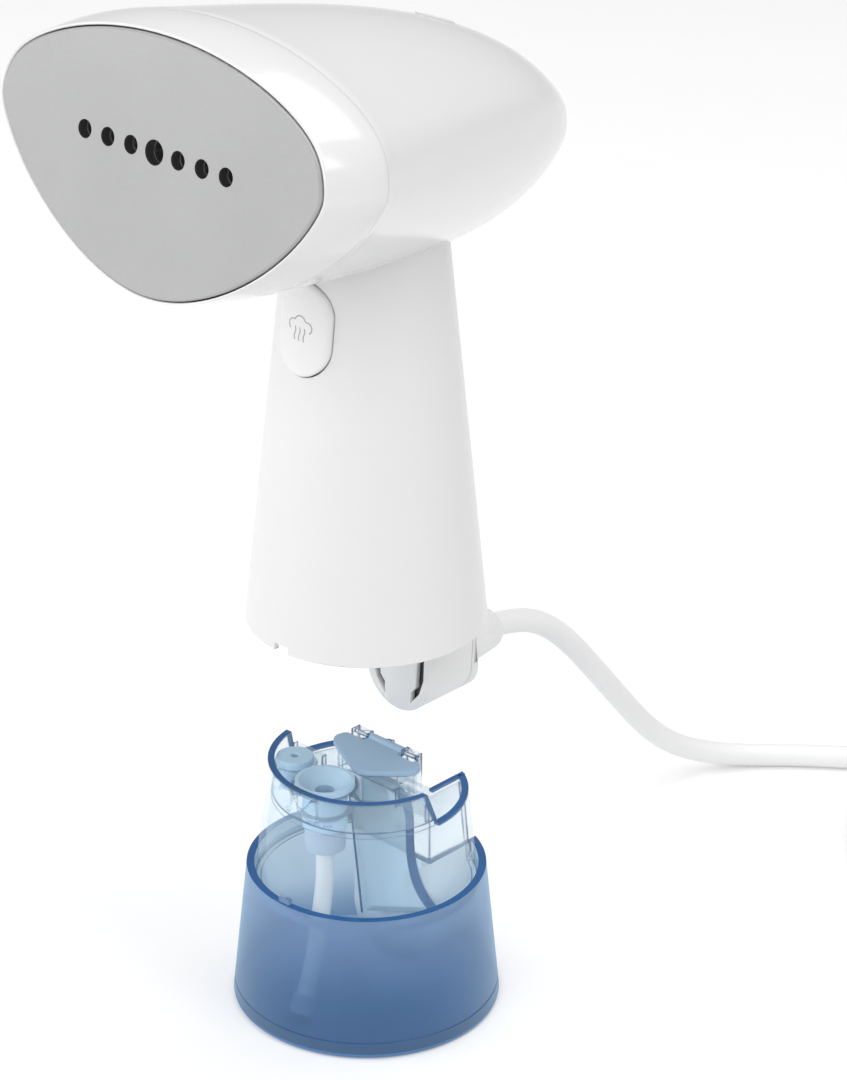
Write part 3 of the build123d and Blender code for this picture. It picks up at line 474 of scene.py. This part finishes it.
# How the dome closes: powers of its width and height, and the distance and power of its tip's drop
DOME_WIDTH = (0.8, 0.396)
DOME_HEIGHT = (3.3, 0.452)
DOME_DROP = (5.7, 3.9)
DOME_LOBES = 0.46
# How much wider, higher and lower than the plate the front band ends
SWELL_WIDE, SWELL_UP, SWELL_DOWN = 0.067, 0.086, 0.017
# Depth, and distance out from the plate's outline, along the lip between the plate and the band
LIP = ((5.0, 0.35), (1.2, 0.35), (0.8, 0.42), (0.62, 0.62), (0.62, 0.85))
BAND_DEPTHS = (0.9, 1.4, 2.2, 3.2, 4.6, 6, 7.6, 9.2, 10.8, 12.4, 14, 15.6, 17)
# Depth past the band, and distance in, on the two sides of the seam between the band and the dome
SEAM_FRONT = ((-0.25, 0.0), (-0.1, 0.06), (-0.03, 0.25), (-0.03, 1.6))
SEAM_BACK = ((0.0, 1.6), (0.0, 0.25), (0.08, 0.06), (0.25, 0.0))
DOME_START = 0.4
DOME_SPACING = 2.6
# Half width and half height of the row of steam holes
HOLE_ROW = (32.0, 14.0)
ACROSS_FACE = 0.3
FLAT_FACE = 0.99


def outline_point(angle, grow, lobes=1.0):
    """Point of the plate's outline whose edge faces the given direction."""
    mean, lift, second, third, fifth = OUTLINE
    third, fifth = third * lobes, fifth * lobes
    reach = mean + grow + lift * math.sin(angle) + second * math.cos(2 * angle)
    reach += third * math.sin(3 * angle) + fifth * math.sin(5 * angle)
    slope = lift * math.cos(angle) - 2 * second * math.sin(2 * angle)
    slope += 3 * third * math.cos(3 * angle) + 5 * fifth * math.cos(5 * angle)
    x = reach * math.cos(angle) - slope * math.sin(angle)
    y = reach * math.sin(angle) + slope * math.cos(angle)
    return x, y


def on_head(x, y, depth):
    """Point of the head from its place across the plate and its depth behind the plate's face."""
    across = FACE_Y + depth * math.cos(TILT) + y * math.sin(TILT)
    height = FACE_HEIGHT - depth * math.sin(TILT) + y * math.cos(TILT)
    return place(x, across, height)


def plate_ring(depth, grow):
    return [on_head(*outline_point(angle, grow), depth) for angle in turn(RING_POINTS)]


def head_ring(depth, inset=0.0):
    """Ring round the head at a depth: it swells over the band, then closes to the dome's tip."""
    swell = math.sin(math.pi / 2 * min(1.0, depth / BAND))
    fade = max(0.0, (depth - BAND) / (HEAD_LENGTH - BAND))
    wide = (1 - fade ** DOME_WIDTH[0]) ** DOME_WIDTH[1] * (1 + SWELL_WIDE * swell)
    tall = (1 - fade ** DOME_HEIGHT[0]) ** DOME_HEIGHT[1]
    drop = DOME_DROP[0] * fade ** DOME_DROP[1]
    ring = []
    for angle in turn(RING_POINTS):
        x, y = outline_point(angle, RIM - inset, 1 + DOME_LOBES * fade)
        rise = SWELL_UP if y > 0 else SWELL_DOWN
        ring.append(on_head(x * wide, y * tall * (1 + rise * swell) - drop, depth))
    return ring


def build_head():
    rings = [plate_ring(depth, grow) for depth, grow in LIP]
    rings += [head_ring(depth) for depth in BAND_DEPTHS]
    rings += [head_ring(BAND + past, inset) for past, inset in SEAM_FRONT]
    band = new_piece("front_band", *skin(rings), "white_gloss", "steamer")
    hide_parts("front_frame")

    rings = [head_ring(BAND + past, inset) for past, inset in SEAM_BACK]
    for step in range(1, DOME_RINGS):
        share = 1 - (1 - step / DOME_RINGS) ** DOME_SPACING
        rings.append(head_ring(BAND + DOME_START + share * (HEAD_LENGTH - BAND - DOME_START)))
    tip = on_head(0, -DOME_DROP[0], HEAD_LENGTH)
    dome = new_piece("head_dome", *skin(rings, end_point=tip), "white_gloss", "steamer")
    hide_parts("head_shell")


build_head()


def is_steam_hole(centre, height, normal):
    """The walls of the steam holes, which lie across the plate's face; they take painted shade."""
    up_plate = (centre.y - FACE_Y) * math.sin(TILT) + (height - FACE_HEIGHT) * math.cos(TILT)
    wall = abs(normal.dot(PLATE_OUT)) < ACROSS_FACE
    return wall and abs(centre.x) < HOLE_ROW[0] and abs(up_plate) < HOLE_ROW[1]


def build_plate():
    plate = smooth_copy("steam_plate", "plate_face", "plate_satin")
    # Painted shade inside the steam holes
    paint_faces(plate, "hole_shade_grey", is_steam_hole)
    for polygon in plate.data.polygons:
        polygon.use_smooth = abs(polygon.normal.dot(PLATE_OUT)) < FLAT_FACE
    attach(plate, "steamer")


build_plate()

# ---------------------------------------------------------------- handle and trigger

HANDLE_BOTTOM = 119.7
HANDLE_FOOT_RADIUS = 33.1
TAPER = 0.1033
TRIGGER_HEIGHT = 210.6
TRIGGER_WIDTH = 18.0
TRIGGER_LENGTH = 25.6
TRIGGER_POINTS = 96
# The button's rounded edge and its face: how far in from its outline, and how far out of the handle
BUTTON_PROFILE = (
    (0.0, -2.4), (0.0, 0.2), (0.06, 0.55), (0.25, 0.85), (0.55, 1.02), (1.0, 1.12), (1.8, 1.17),
    (3.4, 1.2), (5.0, 1.2), (6.6, 1.2), (8.2, 1.2),
)


def handle_radius(height):
    return HANDLE_FOOT_RADIUS - TAPER * (height - HANDLE_BOTTOM)


def on_front(x, height, grow):
    """Point on the front of the handle, seen straight on, raised off it by grow."""
    reach = handle_radius(height) + grow
    return place(x, -math.sqrt(max(0.0, reach * reach - x * x)), height)


def stadium(inset):
    """Points round the trigger's outline, moved in by a distance."""
    radius = TRIGGER_WIDTH / 2 - inset
    straight = (TRIGGER_LENGTH - TRIGGER_WIDTH) / 2
    outline = []
    for step in range(TRIGGER_POINTS):
        angle = 2 * math.pi * (step + 0.5) / TRIGGER_POINTS
        rise = straight if math.sin(angle) > 0 else -straight
        outline.append((radius * math.cos(angle), rise + radius * math.sin(angle)))
    return outline


def build_handle():
    sleeve = smooth_copy("handle_sleeve", "handle_skin", "white_handle")
    cone_normals(sleeve, TAPER)
    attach(sleeve, "steamer")


def build_button():
    rings = []
    for inset, out in BUTTON_PROFILE:
        rings.append([on_front(x, TRIGGER_HEIGHT + y, out) for x, y in stadium(inset)])
    vertices, faces = skin(rings)
    first = len(vertices) - TRIGGER_POINTS
    last = len(vertices) - 1
    for step in range(TRIGGER_POINTS // 2 - 1):
        faces.append((first + step, first + step + 1, last - 1 - step, last - step))
    button = new_piece("trigger_face", vertices, faces, "white_button", "trigger")
    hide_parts("trigger_button")


build_handle()
build_button()

# The steam sign: its line's radius, and how far it stands out of the handle
ICON_LINE = 0.22
ICON_OUT = 1.08
# The cloud's bows: middle, radius, and first and last angle in degrees
CLOUD_BOWS = ((-2.5, 0.9, 1.5, 235, 95), (0.0, 1.7, 2.0, 160, 20), (2.5, 0.9, 1.5, 85, -55))
WISPS = (-1.6, 0.0, 1.6)
WISP_SWAY = 0.22
WISP_TOP = 0.6
WISP_LENGTH = 3.6
STROKE_STEPS = 8


def icon_strokes():
    """A generic steam sign: a cloud of three bows over three upright wisps."""
    shares = [step / STROKE_STEPS for step in range(STROKE_STEPS + 1)]
    cloud = []
    for centre_x, centre_y, radius, start, end in CLOUD_BOWS:
        for share in shares:
            angle = math.radians(start + (end - start) * share)
            cloud.append((centre_x + radius * math.cos(angle), centre_y + radius * math.sin(angle)))
    strokes = [cloud]
    for x in WISPS:
        wisp = []
        for share in shares:
            wisp.append((x + WISP_SWAY * math.sin(2 * math.pi * share), WISP_TOP - WISP_LENGTH * share))
        strokes.append(wisp)
    return strokes


def build_icon():
    data = bpy.data.curves.new("trigger_icon", "CURVE")
    data.dimensions = "3D"
    data.bevel_depth = ICON_LINE * MM
    data.bevel_resolution = 2
    for stroke in icon_strokes():
        spline = data.splines.new("POLY")
        spline.points.add(len(stroke) - 1)
        for point, (x, y) in zip(spline.points, stroke):
            point.co = (*on_front(x, TRIGGER_HEIGHT + y, ICON_OUT), 1.0)
    icon = new_object("trigger_icon", data)
    dress(icon, "icon_grey")
    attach(icon, "trigger")


build_icon()

# ---------------------------------------------------------------- docking tongue

# Angles in radians: faces that turn less are merged, and an edge that turns more is rounded
MERGED_TURN = math.radians(1.0)
CRISP_TURN = 0.6
ROUND_SEGMENTS = 2


def softened(node, name, look, width, body):
    """A CAD node's copy with its crisp edges broken by a small round."""
    piece = smooth_copy(node, name, look)
    mesh = piece.data
    work = bmesh.new()
    work.from_mesh(mesh)
    bmesh.ops.dissolve_limit(work, angle_limit=MERGED_TURN, verts=work.verts, edges=work.edges)
    crisp = []
    for edge in work.edges:
        if len(edge.link_faces) == 2 and edge.calc_face_angle(0) > CRISP_TURN:
            crisp.append(edge)
    bmesh.ops.bevel(
        work, geom=crisp, offset=width * MM, segments=ROUND_SEGMENTS, profile=0.5, affect="EDGES",
        clamp_overlap=True,
    )
    work.to_mesh(mesh)
    work.free()
    shade(mesh, SHARP_NEW)
    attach(piece, body)


softened("dock_tongue", "tongue_front", "white_tongue", 0.25, "steamer")
softened("tongue_cap", "tongue_rear", "white_tongue", 0.2, "steamer")

CORD_RADIUS = 3.5
CORD_EXIT_Y = 50.5
CORD_AXIS_HEIGHT = 97.2
# The strain relief's outside: distance back from the handle's axis, and radius
RELIEF_PROFILE = (
    (29.0, 6.3), (35.6, 6.3), (35.6, 7.0), (36.0, 7.25), (37.0, 7.25), (40.0, 7.0), (44.0, 6.6),
    (47.5, 6.25), (49.0, 6.0), (50.0, 5.5), (50.5, 4.9), (50.7, 4.2), (50.6, 3.55), (49.0, 3.5),
)
RELIEF_POINTS = 64


def build_relief():
    rings = []
    for y, radius in RELIEF_PROFILE:
        ring = []
        for angle in turn(RELIEF_POINTS):
            height = CORD_AXIS_HEIGHT + radius * math.sin(angle)
            ring.append(place(radius * math.cos(angle), y, height))
        rings.append(ring)
    # The strain relief takes the white with painted light
    relief = new_piece("cord_relief", *skin(rings), "relief_white", "steamer")
    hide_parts("strain_relief")


build_relief()

# ---------------------------------------------------------------- cord and plug

# The cord's route from the strain relief to the coil: x, y and height of its axis
CORD_ROUTE = [
    (0.0, CORD_EXIT_Y, CORD_AXIS_HEIGHT),
    (-1.2, 61.5, 94.8),
    (-4.2, 77.5, 87.2),
    (-8.0, 94.0, 73.8),
    (-12.2, 113.0, 54.2),
    (-15.2, 130.0, 35.8),
    (-15.9, 143.0, 21.6),
    (-14.4, 154.2, 12.2),
    (-10.3, 166.2, 6.2),
    (-3.2, 177.6, CORD_RADIUS),
    (7.2, 187.8, CORD_RADIUS),
    (22.5, 199.9, CORD_RADIUS),
    (37.0, 212.6, CORD_RADIUS),
]
CORD_SECTION_STEPS = 8
CORD_CURVE_STEPS = 10
CORD_CURVE_ORDER = 3
COIL_RADIUS = 42.0
COIL_LEAD_IN = 28.0
COIL_LEAD_OUT = 34.0
COIL_TOP_LAYER = 10.5
PLUG_AXIS_HEIGHT = 13.0
COIL_TURNS = 5
TURN_POINTS = 20
# Where the turns step inwards (bottom layer) and outwards (top layer), in degrees along the coil
STEPS_IN = (290, 650)
STEPS_OUT = (1235, 1595)
CLIMB = 940
STEP_SPAN = 60


def eased(value, start):
    """Rises smoothly from 0 to 1 over a step's span after start."""
    share = min(1.0, max(0.0, (value - start) / STEP_SPAN))
    return share * share * (3 - 2 * share)


def coil_frame():
    """Middle of the coil, its first angle, its outer turn's radius, and where the plug begins."""
    last, before = Vector(CORD_ROUTE[-1]), Vector(CORD_ROUTE[-2])
    lead_in = (last - before).normalized()
    across = Vector((lead_in.y, -lead_in.x, 0))
    outer_turn = COIL_RADIUS + 2 * CORD_RADIUS
    middle = last + lead_in * COIL_LEAD_IN + across * outer_turn
    start_angle = math.atan2(-across.y, -across.x)
    plug_start = (middle.x + outer_turn, middle.y - COIL_LEAD_OUT, PLUG_AXIS_HEIGHT)
    return middle, start_angle, outer_turn, plug_start


def coil_points():
    middle, start_angle, outer_turn, _ = coil_frame()
    sweep = 360 * COIL_TURNS + math.degrees(start_angle)
    steps = round(sweep / 360 * TURN_POINTS)
    outside = 1 / math.cos(math.pi / TURN_POINTS)
    points = []
    for step in range(steps + 1):
        travel = sweep * step / steps
        angle = start_angle - math.radians(travel)
        inward = sum(eased(travel, start) for start in STEPS_IN)
        inward -= sum(eased(travel, start) for start in STEPS_OUT)
        reach = (outer_turn - 2 * CORD_RADIUS * inward) * outside
        x = middle.x + reach * math.cos(angle)
        y = middle.y + reach * math.sin(angle)
        points.append((x, y, CORD_RADIUS + (COIL_TOP_LAYER - CORD_RADIUS) * eased(travel, CLIMB)))
    return points


def build_cord():
    *_, plug_start = coil_frame()
    points = CORD_ROUTE + coil_points()[1:] + [plug_start]
    data = bpy.data.curves.new("mains_cord", "CURVE")
    data.dimensions = "3D"
    data.bevel_depth = CORD_RADIUS * MM
    data.bevel_resolution = CORD_SECTION_STEPS
    data.resolution_u = CORD_CURVE_STEPS
    data.use_fill_caps = True
    spline = data.splines.new("NURBS")
    spline.points.add(len(points) - 1)
    for point, corner in zip(spline.points, points):
        point.co = (*place(*corner), 1.0)
    spline.order_u = CORD_CURVE_ORDER
    spline.use_endpoint_u = True
    cord = new_object("mains_cord", data)
    dress(cord, "cord_white")
    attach(cord, "steamer")
    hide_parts("power_cord", "cord_coil")
    return cord


BOOT_LENGTH = 22.0
PLUG_LENGTH = 36.0
PLUG_POINTS = 72
# Sections have a distance from the cord, a half width, a half thickness and a squareness
ROUND, SQUARISH = 2.0, 2.9
BOOT_START = ((0.0, 3.6, 3.6, ROUND), (0.0, 4.4, 4.4, ROUND))
RIBS = 6
RIB_START, RIB_PITCH = 1.0, 3.2
RIB_GIRTH, RIB_GROWTH = 4.7, 0.42
# Along a rib from its start, and how much wider than its girth
RIB_PROFILE = ((0.0, 0.0), (1.7, 0.15), (1.9, -0.5), (2.9, -0.4))
PLUG_PROFILE = (
    (0.0, 10.0, 7.4), (1.5, 11.6, 8.4), (4.0, 13.4, 9.6), (8.0, 16.0, 11.4), (12.0, 17.2, 12.3),
    (16.0, 17.5, 12.5), (30.0, 17.5, 12.5), (34.6, 17.4, 12.4), (35.6, 17.0, 12.0),
    (36.0, 16.3, 11.3),
)


def rounded_square(value, half, square):
    return abs(value) ** (2 / square) * math.copysign(half, value)


def build_plug():
    """A flat two-pin plug with a ribbed boot, lying beside the coil."""
    *_, (plug_x, plug_y, plug_height) = coil_frame()
    sections = list(BOOT_START)
    for rib in range(RIBS):
        girth = RIB_GIRTH + rib * RIB_GROWTH
        for along, wider in RIB_PROFILE:
            sections.append((RIB_START + rib * RIB_PITCH + along, girth + wider, girth + wider, ROUND))
    for along, wide, tall in PLUG_PROFILE:
        sections.append((BOOT_LENGTH + along, wide, tall, SQUARISH))
    rings = []
    for along, wide, tall, square in sections:
        ring = []
        for angle in turn(PLUG_POINTS):
            across = rounded_square(math.cos(angle), wide, square)
            rise = rounded_square(math.sin(angle), tall, square)
            ring.append(place(plug_x + across, plug_y - along, plug_height + rise))
        rings.append(ring)
    face = place(plug_x, plug_y - BOOT_LENGTH - PLUG_LENGTH, plug_height)
    start = place(plug_x, plug_y, plug_height)
    plug = new_piece("mains_plug", *skin(rings, start, face), "plug_white", "steamer")
    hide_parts("plug_body")
    return plug


mains_cord = build_cord()
mains_plug = build_plug()

# ---------------------------------------------------------------- tank

CUP_RIM = 42.0
CUP_SLOPE = 4.3 / 42.0
BASE_RADIUS = 38.0
FOOT = 2.0
INNER_MARGIN = 1.0
CHANNEL_FRONT = 11.5
CHANNEL_CENTRE = 19.7
CHANNEL_RADIUS = 13.9
SHELL_SLOPE = 0.106
SHELL_TOP = 75.0
LEDGE = 65.4
SHELL_INNER_RADIUS = 24.5
SLANT_Y = (-5.0, -0.5)
# How squarely a face has to look back, up or sideways, and how close to a level it has to lie
FACING_BACK = 0.8
FACING_UP = 0.9
FACING_SIDE = 0.3
ON_TOP, ON_RIM, UNDER_RIM = 0.1, 0.2, 0.3
BAFFLE_LEFT = -5.0
BAFFLE_FRONT = 5.0


def is_shell_edge(centre, height, normal):
    """Faces of the clear shell's rim that take painted edge shade: its high top and its slanting ends.
    """
    rim = math.hypot(centre.x, centre.y) > SHELL_INNER_RADIUS
    top = abs(height - SHELL_TOP) < ON_TOP and normal.z > FACING_UP
    slant = SLANT_Y[0] < centre.y < SLANT_Y[1] and height > LEDGE and normal.y > FACING_BACK
    return rim and (top or slant)


# The cup's rim top, which takes painted edge shade
def is_cup_rim(centre, height, normal):
    return abs(height - CUP_RIM) < ON_RIM and normal.z > FACING_UP


def is_cup_inner(centre, height, normal):
    """The cup's inside, which takes painted light and shade, without the docking channel's own walls,
    which face out of the tank.
    """
    outside_radius = BASE_RADIUS - CUP_SLOPE * height
    inside = math.hypot(centre.x, centre.y) < outside_radius - INNER_MARGIN
    reach = math.hypot(centre.x, min(0.0, height - CHANNEL_CENTRE))
    docking = centre.y > CHANNEL_FRONT and reach < CHANNEL_RADIUS
    return inside and not docking and FOOT < height < CUP_RIM - UNDER_RIM


def is_foot(centre, height, normal):
    return height < FOOT


def is_baffle_edge(centre, height, normal):
    """The baffle's curved right side, and the front of the thin rib down its left, which take painted
    edge shade.
    """
    return normal.x > FACING_SIDE and centre.x > BAFFLE_LEFT or centre.y < BAFFLE_FRONT


# The painted edge shade bars' radius along the rear edge, and their section: distance out and height
# over the ledge
RIM_RADIUS = 28.42
RIM_SECTION = ((-1.9, -0.8), (0.03, -0.8), (0.03, 0.05), (-1.9, 0.05))
RIM_STEPS = 40
RIM_FRONT = -1.0
# The painted edge shade bars on the channel's side walls: the x where the rear edge's bars meet them,
# their own x, their thickness as a share of the others', and the y of their two ends
WALL_MEETING = 14.9
WALL_X = 14.65
WALL_THINNING = 0.7
WALL_ENDS = (11.3, 24.6)


def capped(rings):
    """Vertices and faces of a bar through rings, closed at both ends."""
    return skin(rings, *[sum(ring, Vector()) / len(ring) for ring in (rings[0], rings[-1])])


def build_shell_edge_shade():
    """Deep blue bars of painted edge shade on the clear shell's low rear edge and on top of its
    channel's side walls.
    """
    start = math.asin(RIM_FRONT / RIM_RADIUS)
    end = math.acos(WALL_MEETING / RIM_RADIUS)
    for side, name in ((-1, "shell_edge_shade_left"), (1, "shell_edge_shade_right")):
        edge = []
        for step in range(RIM_STEPS + 1):
            angle = start + (end - start) * step / RIM_STEPS
            across, back = side * math.cos(angle), math.sin(angle)
            edge.append([
                place((RIM_RADIUS + out) * across, (RIM_RADIUS + out) * back, LEDGE + rise)
                for out, rise in RIM_SECTION
            ])
        wall = []
        for y in WALL_ENDS:
            wall.append([
                place(side * (WALL_X + WALL_THINNING * out), y, LEDGE + rise)
                for out, rise in RIM_SECTION
            ])
        vertices, faces = capped(edge)
        wall_vertices, wall_faces = capped(wall)
        faces += [tuple(corner + len(vertices) for corner in face) for face in wall_faces]
        rim = new_piece(name, vertices + wall_vertices, faces, "edge_shade_blue", "tank")


def build_tank():
    cup = smooth_copy("tank_cup", "cup_skin", "cup_blue")
    cone_normals(cup, CUP_SLOPE)
    # Painted edge shade on the cup's rim
    paint_faces(cup, "edge_shade_blue", is_cup_rim)
    # Painted light and shade on the cup's inner faces
    paint_faces(cup, "cup_inside_lit", is_cup_inner)
    paint_faces(cup, "foot_blue", is_foot)
    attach(cup, "tank")
    shell = smooth_copy("tank_top", "shell_skin", "shell_blue")
    cone_normals(shell, SHELL_SLOPE)
    # Painted edge shade on the shell's top and slanted ends
    paint_faces(shell, "edge_shade_blue", is_shell_edge)
    # Bars of painted edge shade along the shell's rear edge
    build_shell_edge_shade()
    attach(shell, "tank")
    baffle = smooth_copy("tank_baffle", "baffle_skin", "baffle_blue")
    # Painted edge shade on the baffle's side and rib
    paint_faces(baffle, "edge_shade_blue", is_baffle_edge)
    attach(baffle, "tank")
    softened("fill_flap", "flap_skin", "slate_flap", 0.3, "flap")


build_tank()

# ---------------------------------------------------------------- light and floor

PURE_WHITE = (1.0, 1.0, 1.0, 1.0)
WORLD_STRENGTH = 0.52
FLOOR_HALF = 4.0
FLOOR_GLOW = 0.17
# Name, place, target, size and power of each light, in metres and watts
LIGHTS = (
    ("key", (-1.1, -0.9, 0.55), (0, 0, 0), (0.9, 1.1), 9.4),
    ("front", (0.5, -1.3, 0.75), (0, 0, 0), (0.8, 1.0), 9.9),
    ("fill", (1.0, 0.15, 1.15), (0, 0, 0.05), (0.5, 1.2), 6.8),
    ("top", (0.0, 0.5, 1.5), (0, 0.15, -0.1), (1.4, 1.4), 12.0),
)


def add_area_light(name, location, target, size, power):
    data = bpy.data.lights.new(name, "AREA")
    data.shape = "RECTANGLE"
    data.size, data.size_y = size
    data.energy = power
    light = new_object(name, data)
    light.location = location
    aim = Vector(target) - Vector(location)
    light.rotation_euler = aim.to_track_quat("-Z", "Y").to_euler()


def build_stage():
    world = bpy.data.worlds.new("studio")
    world.use_nodes = True
    background = world.node_tree.nodes["Background"].inputs
    background["Color"].default_value = PURE_WHITE
    background["Strength"].default_value = WORLD_STRENGTH
    bpy.context.scene.world = world
    bpy.context.scene.view_settings.view_transform = "Standard"
    mesh = bpy.data.meshes.new("floor")
    signs = ((-1, -1), (1, -1), (1, 1), (-1, 1))
    corners = [(x * FLOOR_HALF, y * FLOOR_HALF, -GRIP_HEIGHT * MM) for x, y in signs]
    mesh.from_pydata(corners, [], [(0, 1, 2, 3)])
    floor = new_object("floor", mesh)
    paper = moulded("floor_white", (0.74, 0.74, 0.74), 0.9, (40.0, 0.0), 0.004)
    glow = paper.node_tree.nodes["Principled BSDF"].inputs
    glow["Emission Color"].default_value = PURE_WHITE
    glow["Emission Strength"].default_value = FLOOR_GLOW
    floor.data.materials.append(paper)
    for light in LIGHTS:
        add_area_light(*light)


build_stage()
